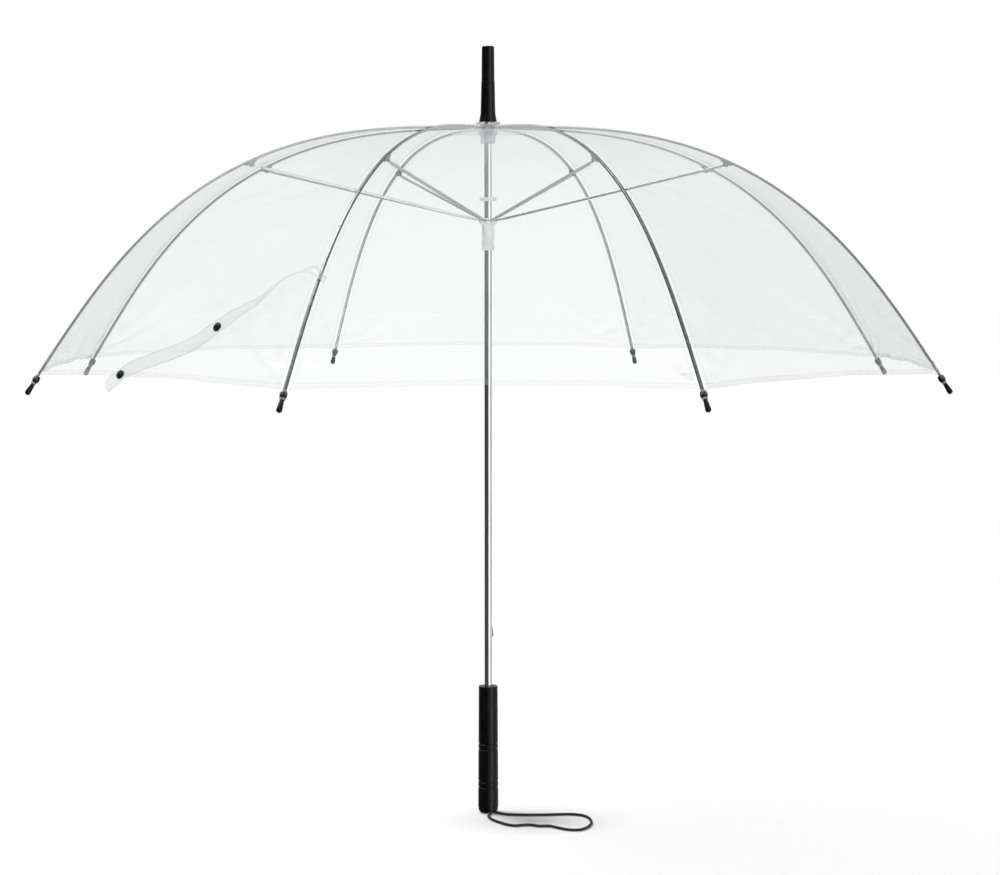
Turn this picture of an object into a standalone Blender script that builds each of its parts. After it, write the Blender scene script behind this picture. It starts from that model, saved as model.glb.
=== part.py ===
"""Clear bubble umbrella, open: film canopy on eight ribs, with crown, runner, stretchers and shaft.

Metres, +Z up. The shaft is on the Z axis and the handle's end is at the origin.
Each rib and what it carries is modelled in the plane y = 0, with x as radius, and turned to its azimuth.
"""

import bmesh
import bpy
from math import cos, hypot, pi, radians, sin
from mathutils import Matrix, Vector

# Driving dimensions
RIB_COUNT = 8
RIB_STEP = 2 * pi / RIB_COUNT
FIRST_RIB = radians(-67.5)
CLEARANCE = 0.0003

SHAFT_RADIUS = 0.0040
SHAFT_WALL = 0.0006
SHAFT_BOTTOM = 0.0330
SHAFT_TOP = 0.7800
BORE_RADIUS = SHAFT_RADIUS + CLEARANCE

HINGE_RADIUS = 0.0090
CROWN_HINGE_Z = 0.7380
RUNNER_HINGE_Z = 0.6405
RIB_LENGTH = 0.5740
RIB_END_SLOPE = radians(56.0)
RIB_HALF_WIDTH = 0.0015
RIB_HALF_HEIGHT = 0.0015
RIB_STATIONS = 24
EYE_HALF_WIDTH = 0.0008
EYE_HOLE_RADIUS = 0.0008
HOLE_SIDES = 10
WIRE_RADIUS = 0.00045
WIRE_GROOVE_HALF = 0.0007
SLOT_REACH = 0.0130

JOINT_SHARE = 0.4530
JOINT_DROP = 0.0042

FILM_INNER_RADIUS = 0.0132
FILM_LOW, FILM_HIGH = 0.0024, 0.0026
FILM_STATIONS = 14
ROSETTE_RADIUS = 0.0450
ROSETTE_LOW, ROSETTE_HIGH = 0.0018, 0.0021

CROWN_BOTTOM, CROWN_TOP = 0.7222, 0.7418
CROWN_RADIUS, CROWN_HUB_RADIUS = 0.01025, 0.0080
CROWN_FLANGE_LOW = 0.7320
CROWN_SLOT_HALF_WIDTH, CROWN_SLOT_RADIUS = 0.0012, 0.0069
WASHER_LOW, WASHER_HIGH, WASHER_RADIUS = 0.7422, 0.7426, 0.0125
PIN_Z, PIN_RADIUS = 0.7262, 0.0006
FERRULE_BOTTOM, FERRULE_TOP = 0.7432, 0.8250
STOP_RING_Z, STOP_RING_RADIUS = 0.6632, 0.0090
RUNNER_BOTTOM, RUNNER_TOP = 0.6089, 0.6432
RUNNER_FLANGE_RADIUS = 0.0095
RUNNER_NOTCH_HALF_WIDTH, RUNNER_NOTCH_RADIUS = 0.0011, 0.0072
RUNNER_SLIT_HALF_WIDTH = 0.0015
CATCH_LOWER_Z, CATCH_UPPER_Z = 0.1896, 0.6100
CATCH_LENGTH = 0.0250
CATCH_HALF_WIDTH = 0.0010
CATCH_TAIL = 0.0060
WINDOW_HALF_WIDTH, WINDOW_MARGIN = 0.0014, 0.0006

HANDLE_TOP = 0.1388
HANDLE_TOP_RADIUS, HANDLE_END_RADIUS = 0.01025, 0.0110
GROOVES = (0.0760, 0.0702, 0.0349, 0.0284)
GROOVE_DEPTH, GROOVE_HALF_WIDTH = 0.0006, 0.0010

CORD_RADIUS = 0.00145
CORD_POINT_STEP = 0.0080
CORD_ROUTE = (
    (-0.0002, -0.0042), (0.0022, -0.0107), (0.0010, -0.0190), (0.0000, -0.0275), (0.0035, -0.0405),
    (0.0100, -0.0520), (0.0190, -0.0640), (0.0277, -0.0694), (0.0360, -0.0668), (0.0440, -0.0664),
    (0.0540, -0.0716), (0.0640, -0.0716), (0.0740, -0.0810), (0.0840, -0.0886), (0.0950, -0.0890),
    (0.1040, -0.0775), (0.1090, -0.0590), (0.1085, -0.0410), (0.1040, -0.0270), (0.0960, -0.0200),
    (0.0850, -0.0178), (0.0700, -0.0192), (0.0540, -0.0203), (0.0390, -0.0201), (0.0260, -0.0188),
    (0.0165, -0.0158), (0.0077, -0.0078), (0.0035, -0.0022),
)
GATE_TURN = radians(-62)
GATE_HALF_WIDTH, GATE_HEIGHT = 0.0050, 0.0036
PLUG_LOW = (-0.0037, -0.0038, 0.0003)
PLUG_HIGH = (0.0033, 0.0038, 0.0107)


# Materials

def material(name, color, roughness, metallic=0.0, alpha=1.0):
    mat = bpy.data.materials.get(name)
    if mat:
        return mat
    mat = bpy.data.materials.new(name)
    mat.use_nodes = True
    shader = mat.node_tree.nodes["Principled BSDF"]
    shader.inputs["Base Color"].default_value = (*color, 1.0)
    shader.inputs["Roughness"].default_value = roughness
    shader.inputs["Metallic"].default_value = metallic
    shader.inputs["Alpha"].default_value = alpha
    return mat


def chrome():
    return material("chrome", (0.75, 0.76, 0.78), 0.18, 1.0)


def grey_steel():
    return material("grey_steel", (0.42, 0.43, 0.44), 0.35, 1.0)


def clear_film():
    return material("clear_film", (0.90, 0.93, 0.93), 0.15, 0.0, 0.25)


def clear_plastic():
    return material("clear_plastic", (0.85, 0.87, 0.88), 0.30, 0.0, 0.75)


def black_plastic():
    return material("black_plastic", (0.012, 0.012, 0.014), 0.35)


def black_cord():
    return material("black_cord", (0.015, 0.015, 0.017), 0.80)


# Mesh building

def object_from(bm, name, mat, smooth_angle=None):
    bmesh.ops.recalc_face_normals(bm, faces=bm.faces)
    mesh = bpy.data.meshes.new(name)
    bm.to_mesh(mesh)
    bm.free()
    mesh.materials.append(mat)
    if smooth_angle:
        mesh.shade_smooth()
        mesh.set_sharp_from_angle(angle=radians(smooth_angle))
    obj = bpy.data.objects.new(name, mesh)
    bpy.context.scene.collection.objects.link(obj)
    return obj


def add_loft(bm, rings, closed=False):
    """Skin a list of equally long point rings, and cap the two ends unless it closes on itself."""
    loops = [[bm.verts.new(p) for p in ring] for ring in rings]
    count = len(loops[0])
    pairs = list(zip(loops, loops[1:]))
    if closed:
        pairs.append((loops[-1], loops[0]))
    for a, b in pairs:
        for i in range(count):
            j = (i + 1) % count
            bm.faces.new((a[i], a[j], b[j], b[i]))
    if not closed:
        bm.faces.new(loops[0][::-1])
        bm.faces.new(loops[-1])


def lofted(name, rings, mat, smooth_angle=None):
    bm = bmesh.new()
    add_loft(bm, rings)
    return object_from(bm, name, mat, smooth_angle)


def turned(name, profile, sides, mat, axis=None, start=0.0, smooth_angle=35):
    """Turn a closed (radius, height) outline about Z, or about the line axis = (point, direction)."""
    bm = bmesh.new()
    columns = []
    for r, h in profile:
        if r < 1e-6:
            columns.append([bm.verts.new((0, 0, h))] * sides)
        else:
            columns.append([
                bm.verts.new((r * cos(start + 2 * pi * k / sides), r * sin(start + 2 * pi * k / sides), h))
                for k in range(sides)
            ])
    count = len(profile)
    for i in range(count):
        a, b = columns[i], columns[(i + 1) % count]
        if a[0] is a[1] and b[0] is b[1]:
            continue
        for k in range(sides):
            j = (k + 1) % sides
            corners = dict.fromkeys((a[k], a[j], b[j], b[k]))
            bm.faces.new(list(corners))
    if axis:
        point, direction = axis
        turn = Vector((0, 0, 1)).rotation_difference(Vector(direction)).to_matrix().to_4x4()
        bmesh.ops.transform(bm, matrix=Matrix.Translation(point) @ turn, verts=bm.verts)
    return object_from(bm, name, mat, smooth_angle)


def box(name, low, high, mat, turn=0.0):
    bm = bmesh.new()
    bmesh.ops.create_cube(bm, size=1.0)
    for v in bm.verts:
        v.co = [lo + (c + 0.5) * (hi - lo) for c, lo, hi in zip(v.co, low, high)]
    bmesh.ops.rotate(bm, matrix=Matrix.Rotation(turn, 3, "Z"), verts=bm.verts)
    return object_from(bm, name, mat)


def bar(name, point, direction, radius, length, mat, sides=12):
    profile = [(0, -length / 2), (radius, -length / 2), (radius, length / 2), (0, length / 2)]
    return turned(name, profile, sides, mat, (point, direction))


def join(name, objects):
    """Put separate bodies into one object, as a cutter or as a group."""
    bm = bmesh.new()
    for obj in objects:
        bm.from_mesh(obj.data)
    joined = object_from(bm, name, objects[0].data.materials[0])
    for obj in objects:
        bpy.data.objects.remove(obj)
    return joined


def cut(target, cutter, operation="DIFFERENCE"):
    cutter.hide_render = True
    cutter.display_type = "WIRE"
    modifier = target.modifiers.new(cutter.name, "BOOLEAN")
    modifier.operation = operation
    modifier.solver = "EXACT"
    modifier.object = cutter


def finished_mesh(obj, helpers):
    """The object's mesh with its modifiers applied, and the object and its cutters removed."""
    bpy.context.view_layer.update()
    graph = bpy.context.evaluated_depsgraph_get()
    mesh = bpy.data.meshes.new_from_object(obj.evaluated_get(graph))
    for spent in (obj, *helpers):
        bpy.data.objects.remove(spent)
    return mesh


# Positions round the shaft

def azimuth(i):
    return FIRST_RIB + i * RIB_STEP


def placed_around(base_name, mesh, pivot):
    """One object for each rib, sharing the mesh, its origin on the hinge at pivot = (radius, height)."""
    for i in range(RIB_COUNT):
        obj = bpy.data.objects.new(f"{base_name}_{i + 1}", mesh)
        bpy.context.scene.collection.objects.link(obj)
        obj.location = (pivot[0] * cos(azimuth(i)), pivot[0] * sin(azimuth(i)), pivot[1])
        obj.rotation_euler.z = azimuth(i)


# The ribs' curve

def rib_curve(count=400):
    """Points (radius, height, slope) along a rib's centre line: flat at the crown, then curving down."""
    step = RIB_LENGTH / count
    r, z = HINGE_RADIUS, CROWN_HINGE_Z
    points = []
    for k in range(count + 1):
        slope = RIB_END_SLOPE * (1 - cos(pi * k / count)) / 2
        points.append((r, z, slope))
        middle = RIB_END_SLOPE * (1 - cos(pi * (k + 0.5) / count)) / 2
        r += step * cos(middle)
        z -= step * sin(middle)
    return points


RIB = rib_curve()


def rib_point(share, offset=0.0):
    """A point (radius, height) at a share of the rib's length, offset out from its centre line."""
    r, z, slope = RIB[round(share * (len(RIB) - 1))]
    return r + offset * sin(slope), z + offset * cos(slope)


def rib_direction(share):
    slope = RIB[round(share * (len(RIB) - 1))][2]
    return cos(slope), -sin(slope)


JOINT = rib_point(JOINT_SHARE, -JOINT_DROP)
CROWN_HINGE = (HINGE_RADIUS, CROWN_HINGE_Z)
RUNNER_HINGE = (HINGE_RADIUS, RUNNER_HINGE_Z)


def section(x, z, direction, half_width, low, high, origin):
    """A rectangle across a bar at (x, z): low and high are measured along the bar's normal."""
    dx, dz = direction
    nx, nz = -dz, dx
    corners = ((-half_width, low), (half_width, low), (half_width, high), (-half_width, high))
    return [(x + nx * h - origin[0], w, z + nz * h - origin[1]) for w, h in corners]


# Rib, bracket, tip and stretcher

def make_ribs():
    reach_in = 0.0012
    x, z = CROWN_HINGE
    eye = 0.0012
    rings = [
        section(x - reach_in, z, (1, 0), EYE_HALF_WIDTH, -eye, eye, CROWN_HINGE),
        section(x + 0.0035, z, (1, 0), EYE_HALF_WIDTH, -eye, eye, CROWN_HINGE),
    ]
    for k in range(1, RIB_STATIONS + 1):
        share = k / RIB_STATIONS
        px, pz = rib_point(share)
        rings.append(section(px, pz, rib_direction(share), RIB_HALF_WIDTH,
                             -RIB_HALF_HEIGHT, RIB_HALF_HEIGHT, CROWN_HINGE))
    dx, dz = rib_direction(1.0)
    tongue = 0.0070
    px, pz = rib_point(1.0)
    rings.append(section(px + tongue * dx, pz + tongue * dz, (dx, dz), RIB_HALF_WIDTH,
                         -RIB_HALF_HEIGHT, RIB_HALF_HEIGHT, CROWN_HINGE))
    rib = lofted("rib", rings, grey_steel())
    hole = bar("rib_eye_hole", (0, 0, 0), (0, 1, 0), EYE_HOLE_RADIUS, 0.006, grey_steel(), HOLE_SIDES)
    cut(rib, hole)
    placed_around("rib", finished_mesh(rib, [hole]), CROWN_HINGE)


def make_brackets():
    """A channel that holds the rib from below, with two ears and the pin that the stretcher turns on."""
    inner = RIB_HALF_WIDTH + CLEARANCE
    outer = inner + 0.0005
    base_high, base_low = -RIB_HALF_HEIGHT - CLEARANCE, -RIB_HALF_HEIGHT - CLEARANCE - 0.0005
    half_length, ear_half_length = 0.0060, 0.0030
    cheek_high, ear_low = 0.0009, -JOINT_DROP - 0.0016
    x, z = rib_point(JOINT_SHARE)
    dx, dz = rib_direction(JOINT_SHARE)
    outline = [(-half_length, base_low), (-ear_half_length, base_low), (-ear_half_length, ear_low),
               (ear_half_length, ear_low), (ear_half_length, base_low), (half_length, base_low),
               (half_length, cheek_high), (-half_length, cheek_high)]
    rings = []
    for y in (-outer, outer):
        rings.append([(x + dx * a - dz * b - HINGE_RADIUS, y, z + dz * a + dx * b - CROWN_HINGE_Z)
                      for a, b in outline])
    bracket = lofted("bracket", rings, grey_steel())
    rib_channel = slot_along((x, z), (dx, dz), inner, base_high, cheek_high + 0.001, "rib_channel")
    fork = slot_along((x, z), (dx, dz), 0.0013, ear_low - 0.001, base_low + 0.0001, "ear_gap")
    pin = bar("pivot_pin", (JOINT[0] - HINGE_RADIUS, 0, JOINT[1] - CROWN_HINGE_Z), (0, 1, 0), 0.0006,
              2 * outer + 0.0016, grey_steel(), HOLE_SIDES)
    cut(bracket, rib_channel)
    cut(bracket, fork)
    cut(bracket, pin, "UNION")
    placed_around("bracket", finished_mesh(bracket, [rib_channel, fork, pin]), CROWN_HINGE)


def slot_along(point, direction, half_width, low, high, name):
    x, z = point
    dx, dz = direction
    reach = 0.012
    rings = [section(x + dx * a, z + dz * a, direction, half_width, low, high, CROWN_HINGE)
             for a in (-reach, reach)]
    return lofted(name, rings, grey_steel())


def make_stretchers():
    """A bar from the bracket's pin to the runner, with an eye at the pin and a thin foot at the runner."""
    ax, az = JOINT
    bx, bz = RUNNER_HINGE
    length = hypot(bx - ax, bz - az)
    direction = ((bx - ax) / length, (bz - az) / length)
    eye, eye_width, foot = 0.0013, 0.0009, 0.0014
    stations = (
        (-0.0013, eye_width, eye), (0.0040, eye_width, eye), (0.0065, 0.0020, 0.0015),
        (0.0180, 0.0014, 0.0014), (length - 0.0120, 0.0012, 0.0012),
        (length - 0.0090, EYE_HALF_WIDTH, foot), (length + 0.0010, EYE_HALF_WIDTH, foot * 0.9),
    )
    rings = [section(ax + direction[0] * s, az + direction[1] * s, direction, w, -h, h, JOINT)
             for s, w, h in stations]
    stretcher = lofted("stretcher", rings, grey_steel())
    pin_clearance = 0.0009
    hole = bar("stretcher_eye_hole", (0, 0, 0), (0, 1, 0), pin_clearance, 0.006, grey_steel(), HOLE_SIDES)
    cut(stretcher, hole)
    placed_around("stretcher", finished_mesh(stretcher, [hole]), JOINT)


def make_tips():
    """A black cap pushed on each rib's end, with the bead that the film's corner is tied to."""
    bore, bore_depth = 0.0024, 0.0074
    profile = [(0, bore_depth), (bore, bore_depth), (bore, 0), (0.0034, 0), (0.0036, 0.0035),
               (0.0034, 0.0068), (0.0026, 0.0078), (0.0026, 0.0190), (0.0020, 0.0212), (0, 0.0216)]
    x, z = rib_point(1.0)
    dx, dz = rib_direction(1.0)
    start = (x - HINGE_RADIUS + dx * CLEARANCE, 0, z - CROWN_HINGE_Z + dz * CLEARANCE)
    tip = turned("tip", profile, 8, black_plastic(), (start, (dx, 0, dz)))
    placed_around("tip", finished_mesh(tip, []), CROWN_HINGE)


# Film

def film_edge(x, z, side, seam_gap):
    """The middle of the gore beside a rib point at (x, z): gores are flat from rib to rib."""
    half = RIB_STEP / 2
    reach = x * cos(half) * sin(half)
    share = (reach - seam_gap) / reach
    return x - share * x * sin(half) ** 2, side * share * reach, z


def make_canopy():
    """Eight sectors of the film dome, each centred on its rib and ending in the middle of the gores."""
    first = (FILM_INNER_RADIUS - HINGE_RADIUS) / RIB_LENGTH
    rings = []
    for k in range(FILM_STATIONS + 1):
        share = first + (1 - first) * k / FILM_STATIONS
        ring = []
        for offset, order in ((FILM_HIGH, (-1, 0, 1)), (FILM_LOW, (1, 0, -1))):
            x, z = rib_point(share, offset)
            for side in order:
                p = film_edge(x, z, side, CLEARANCE / 2) if side else (x, 0, z)
                ring.append((p[0] - HINGE_RADIUS, p[1], p[2] - CROWN_HINGE_Z))
        rings.append(ring)
    canopy = lofted("canopy", rings, clear_film())
    placed_around("canopy", finished_mesh(canopy, []), CROWN_HINGE)


def make_rosette():
    inner = (FILM_INNER_RADIUS - HINGE_RADIUS) / RIB_LENGTH
    outer = (ROSETTE_RADIUS - HINGE_RADIUS) / RIB_LENGTH
    shares = [inner + (outer - inner) * k / 3 for k in range(4)]
    top = [rib_point(s, ROSETTE_HIGH) for s in shares]
    underside = [rib_point(s, ROSETTE_LOW) for s in shares[::-1]]
    turned("rosette", top + underside, RIB_COUNT, clear_film(), start=FIRST_RIB)


# Crown, ferrule and shaft

def wire_groove(name, inner, height):
    """A ring cut round the outside, down to the inner radius, where the wire hoop lies."""
    low, high = height - WIRE_GROOVE_HALF, height + WIRE_GROOVE_HALF
    outer = SLOT_REACH
    profile = [(inner, low), (outer, low), (outer, high), (inner, high)]
    return turned(name, profile, 24, clear_plastic(), start=FIRST_RIB)


def radial_slots(name, inner, half_width, low, high):
    """One slot for each rib, open to the outside."""
    slots = []
    for i in range(RIB_COUNT):
        corners = (inner, -half_width, low), (SLOT_REACH, half_width, high)
        slots.append(box("slot", *corners, clear_plastic(), azimuth(i)))
    return join(name, slots)


def make_crown():
    edge = 0.0006
    profile = [(BORE_RADIUS, CROWN_BOTTOM), (0.0076, CROWN_BOTTOM), (CROWN_HUB_RADIUS, 0.7300),
               (CROWN_RADIUS, CROWN_FLANGE_LOW), (CROWN_RADIUS, CROWN_TOP - edge),
               (CROWN_RADIUS - edge, CROWN_TOP), (BORE_RADIUS, CROWN_TOP)]
    crown = turned("crown", profile, 24, clear_plastic(), start=FIRST_RIB)
    cut(crown, radial_slots("crown_slots", CROWN_SLOT_RADIUS, CROWN_SLOT_HALF_WIDTH,
                            CROWN_BOTTOM - 0.001, CROWN_HINGE_Z + 0.0022))
    cut(crown, wire_groove("crown_groove", 0.0082, CROWN_HINGE_Z))
    cut(crown, cross_hole("crown_pin_hole", clear_plastic()))
    wire_ring("crown_wire", HINGE_RADIUS, CROWN_HINGE_Z)


def cross_hole(name, mat):
    across = 3 * CROWN_RADIUS
    return bar(name, (0, 0, PIN_Z), (0, 1, 0), PIN_RADIUS + CLEARANCE, across, mat, HOLE_SIDES)


def wire_ring(name, radius, height):
    rings = []
    stations = RIB_COUNT * 3
    for k in range(stations):
        a = FIRST_RIB + 2 * pi * k / stations
        rings.append([
            ((radius + WIRE_RADIUS * cos(b)) * cos(a), (radius + WIRE_RADIUS * cos(b)) * sin(a),
             height + WIRE_RADIUS * sin(b))
            for b in (2 * pi * j / 6 for j in range(6))
        ])
    bm = bmesh.new()
    add_loft(bm, rings, closed=True)
    return object_from(bm, name, chrome(), 60)


def make_ferrule():
    bore_end = SHAFT_TOP + CLEARANCE
    profile = [(0, bore_end), (BORE_RADIUS, bore_end), (BORE_RADIUS, FERRULE_BOTTOM),
               (0.0095, FERRULE_BOTTOM), (0.0083, 0.7478), (0.0079, 0.7560), (0.0072, 0.7870),
               (0.0067, 0.7880), (0.0066, 0.8235), (0.0058, FERRULE_TOP), (0, FERRULE_TOP)]
    turned("ferrule", profile, 16, black_plastic())
    washer = [(BORE_RADIUS, WASHER_LOW), (WASHER_RADIUS, WASHER_LOW),
              (WASHER_RADIUS, WASHER_HIGH), (BORE_RADIUS, WASHER_HIGH)]
    turned("top_washer", washer, 20, clear_film())
    pin_length = 0.0156
    bar("crown_pin", (0, 0, PIN_Z), (0, 1, 0), PIN_RADIUS, pin_length, chrome(), HOLE_SIDES)


def make_shaft():
    inner = SHAFT_RADIUS - SHAFT_WALL
    profile = [(inner, SHAFT_BOTTOM), (SHAFT_RADIUS, SHAFT_BOTTOM),
               (SHAFT_RADIUS, SHAFT_TOP), (inner, SHAFT_TOP)]
    shaft = turned("shaft_tube", profile, 20, chrome())
    for name, low in (("lower_catch_window", CATCH_LOWER_Z), ("upper_catch_window", CATCH_UPPER_Z)):
        bottom, top = low - WINDOW_MARGIN, low + CATCH_LENGTH + WINDOW_MARGIN
        corners = (0.001, -WINDOW_HALF_WIDTH, bottom), (0.006, WINDOW_HALF_WIDTH, top)
        cut(shaft, box(name, *corners, chrome()))
    cut(shaft, cross_hole("shaft_pin_hole", chrome()))


def make_catches():
    """Leaf springs inside the tube: the nose stands out of a window, blunt below and tapering upwards."""
    for name, low in (("catch_lower", CATCH_LOWER_Z), ("catch_upper", CATCH_UPPER_Z)):
        top = low + CATCH_LENGTH
        inner, outer = 0.0018, 0.0023
        outline = [(inner, low - CATCH_TAIL), (outer, low - CATCH_TAIL), (outer, low + 0.0004),
                   (0.0050, low + 0.0030), (0.0056, low + 0.0056), (0.0053, low + 0.0085),
                   (outer, top - 0.0004), (outer, top + CATCH_TAIL), (inner, top + CATCH_TAIL)]
        rings = [[(x, y, z) for x, z in outline] for y in (-CATCH_HALF_WIDTH, CATCH_HALF_WIDTH)]
        lofted(name, rings, chrome())


# Stop ring and runner

def make_stop_ring():
    half = 0.0020
    edge = 0.0006
    profile = [(BORE_RADIUS, STOP_RING_Z - half), (STOP_RING_RADIUS - edge, STOP_RING_Z - half),
               (STOP_RING_RADIUS, STOP_RING_Z - half + edge), (STOP_RING_RADIUS, STOP_RING_Z + half - edge),
               (STOP_RING_RADIUS - edge, STOP_RING_Z + half), (BORE_RADIUS, STOP_RING_Z + half)]
    turned("stop_ring", profile, 20, clear_plastic())


def make_runner():
    bore = BORE_RADIUS + 0.0001
    body, flare, flange_low = 0.0065, 0.0070, 0.6375
    profile = [(bore, RUNNER_BOTTOM), (flare, RUNNER_BOTTOM), (flare, RUNNER_BOTTOM + 0.0020),
               (body, RUNNER_BOTTOM + 0.0040), (body, flange_low - 0.0020),
               (RUNNER_FLANGE_RADIUS, flange_low),
               (RUNNER_FLANGE_RADIUS, RUNNER_TOP - 0.0005), (RUNNER_FLANGE_RADIUS - 0.0005, RUNNER_TOP),
               (bore, RUNNER_TOP)]
    runner = turned("runner", profile, 24, clear_plastic(), start=FIRST_RIB)
    notches = radial_slots("runner_notches", RUNNER_NOTCH_RADIUS, RUNNER_NOTCH_HALF_WIDTH,
                           flange_low - 0.003, RUNNER_TOP + 0.001)
    groove_radius = 0.00585
    groove = wire_groove("runner_groove", groove_radius, RUNNER_HINGE_Z)
    slit = box("runner_slit", (0.002, -RUNNER_SLIT_HALF_WIDTH, RUNNER_BOTTOM - 0.001),
               (0.012, RUNNER_SLIT_HALF_WIDTH, RUNNER_TOP + 0.001), clear_plastic())
    for cutter in (notches, groove, slit):
        cut(runner, cutter)
    wire_ring("runner_wire", groove_radius + 0.0009, RUNNER_HINGE_Z)


# Handle, cord and closure strap

def make_handle():
    floor = SHAFT_BOTTOM - CLEARANCE
    dome = [(0.0074, 0.0), (0.0092, 0.0008), (0.0104, 0.0030), (HANDLE_END_RADIUS, 0.0077)]
    profile = [(0, 0.0), *dome]
    for z in sorted(GROOVES):
        r = HANDLE_END_RADIUS + (HANDLE_TOP_RADIUS - HANDLE_END_RADIUS) * z / HANDLE_TOP
        profile += [(r, z - GROOVE_HALF_WIDTH), (r - GROOVE_DEPTH, z), (r, z + GROOVE_HALF_WIDTH)]
    profile += [(HANDLE_TOP_RADIUS, HANDLE_TOP - 0.0008), (HANDLE_TOP_RADIUS - 0.0008, HANDLE_TOP),
                (BORE_RADIUS, HANDLE_TOP), (BORE_RADIUS, floor), (0, floor)]
    handle = turned("handle", profile, 20, black_plastic())
    inner = PLUG_LOW[0] - CLEARANCE
    gate = box("cord_gate", (inner, -GATE_HALF_WIDTH, -0.001), (0.015, GATE_HALF_WIDTH, GATE_HEIGHT),
               black_plastic(), GATE_TURN)
    pocket = box("plug_pocket", (inner - 0.0001, PLUG_LOW[1] - CLEARANCE, 0.0030),
                 (PLUG_HIGH[0] + 0.0004, PLUG_HIGH[1] + CLEARANCE, PLUG_HIGH[2] + CLEARANCE),
                 black_plastic(), GATE_TURN)
    cut(handle, gate)
    cut(handle, pocket)
    box("cord_plug", PLUG_LOW, PLUG_HIGH, black_plastic(), GATE_TURN)


def smooth_route(points, steps=24):
    """A Catmull-Rom curve through the points, read at short even steps."""
    dense = []
    for i in range(len(points) - 1):
        before = points[max(i - 1, 0)]
        a, b = points[i], points[i + 1]
        after = points[min(i + 2, len(points) - 1)]
        for k in range(steps):
            t = k / steps
            dense.append((
                a * 2 + (b - before) * t + (before * 2 - a * 5 + b * 4 - after) * t ** 2
                + (a * 3 - before - b * 3 + after) * t ** 3
            ) / 2)
    dense.append(points[-1])
    return dense


def make_cord():
    """The wrist loop, laid on the ground the umbrella stands on, with both ends in the plug."""
    height = CORD_RADIUS + 0.0001
    dense = smooth_route([Vector((x, y, height)) for x, y in CORD_ROUTE])
    kept = [dense[0]]
    for p in dense[1:-1]:
        if (p - kept[-1]).length >= CORD_POINT_STEP and (p - dense[-1]).length > CORD_POINT_STEP / 2:
            kept.append(p)
    kept.append(dense[-1])
    curve = bpy.data.curves.new("wrist_cord", "CURVE")
    curve.dimensions = "3D"
    curve.bevel_depth = CORD_RADIUS
    curve.bevel_resolution = 2
    curve.use_fill_caps = True
    curve.materials.append(black_cord())
    spline = curve.splines.new("POLY")
    spline.points.add(len(kept) - 1)
    for point, place in zip(spline.points, kept):
        point.co = (*place, 1.0)
    obj = bpy.data.objects.new("wrist_cord", curve)
    bpy.context.scene.collection.objects.link(obj)


STRAP_RIB = 7
STRAP_HALF_WIDTH = 0.0085
STRAP_LIFT = 0.0012
STRAP_THICKNESS = 0.0004
STRAP_PATH = ((-0.020, 0.790), (0.030, 0.776), (0.117, 0.795), (0.212, 0.845), (0.333, 0.892),
              (0.428, 0.932), (0.582, 0.977), (0.641, 0.998), (0.676, 1.021))
SNAPS = (("snap_socket", STRAP_PATH[4]), ("snap_stud", STRAP_PATH[7]))


def gore_point(across, share, lift):
    """A point over the gore beside rib STRAP_RIB: across is 0 to 1 to the next rib, share down the rib."""
    x, z = rib_point(min(share, 1.0), FILM_HIGH + lift)
    if share > 1.0:
        dx, dz = rib_direction(1.0)
        x += dx * (share - 1.0) * RIB_LENGTH
        z += dz * (share - 1.0) * RIB_LENGTH
    a, b = azimuth(STRAP_RIB), azimuth(STRAP_RIB - 1)
    start = Vector((x * cos(a), x * sin(a), z))
    end = Vector((x * cos(b), x * sin(b), z))
    return start.lerp(end, across)


def make_strap():
    """The closure strap, lying loose on the gore, with a snap socket and a snap stud."""
    path = smooth_route([Vector((a, s, 0)) for a, s in STRAP_PATH], 3)
    rings = []
    for i, p in enumerate(path):
        before, after = path[max(i - 1, 0)], path[min(i + 1, len(path) - 1)]
        centre = gore_point(p.x, p.y, STRAP_LIFT)
        along = (gore_point(after.x, after.y, 0) - gore_point(before.x, before.y, 0)).normalized()
        out = film_normal(p.x, p.y)
        across = out.cross(along).normalized() * STRAP_HALF_WIDTH
        up = out * STRAP_THICKNESS
        rings.append([centre - across, centre + across, centre + across + up, centre - across + up])
    lofted("strap", rings, clear_film())
    for name, place in SNAPS:
        out = film_normal(*place)
        foot = gore_point(*place, STRAP_LIFT) + out * (STRAP_THICKNESS + CLEARANCE)
        profile = [(0, 0), (0.0045, 0), (0.0047, 0.0009), (0.0036, 0.0021), (0, 0.0026)]
        turned(name, profile, 14, black_plastic(), (foot, out))


def film_normal(across, share):
    step = 0.01
    side = gore_point(across + step, share, 0) - gore_point(across - step, share, 0)
    down = gore_point(across, share + step, 0) - gore_point(across, share - step, 0)
    normal = side.cross(down).normalized()
    return normal if normal.z > 0 else -normal


def clear_scene():
    for obj in list(bpy.data.objects):
        bpy.data.objects.remove(obj)


def main():
    clear_scene()
    make_ribs()
    make_brackets()
    make_stretchers()
    make_tips()
    make_canopy()
    make_rosette()
    make_crown()
    make_ferrule()
    make_shaft()
    make_catches()
    make_stop_ring()
    make_runner()
    make_handle()
    make_cord()
    make_strap()


main()
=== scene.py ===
"""Looks of the clear bubble umbrella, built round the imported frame. Metres, +Z up, shaft on the Z axis."""

from math import atan2, cos, exp, hypot, pi, radians, sin

import bmesh
import bpy
from mathutils import Matrix, Vector, noise


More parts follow.
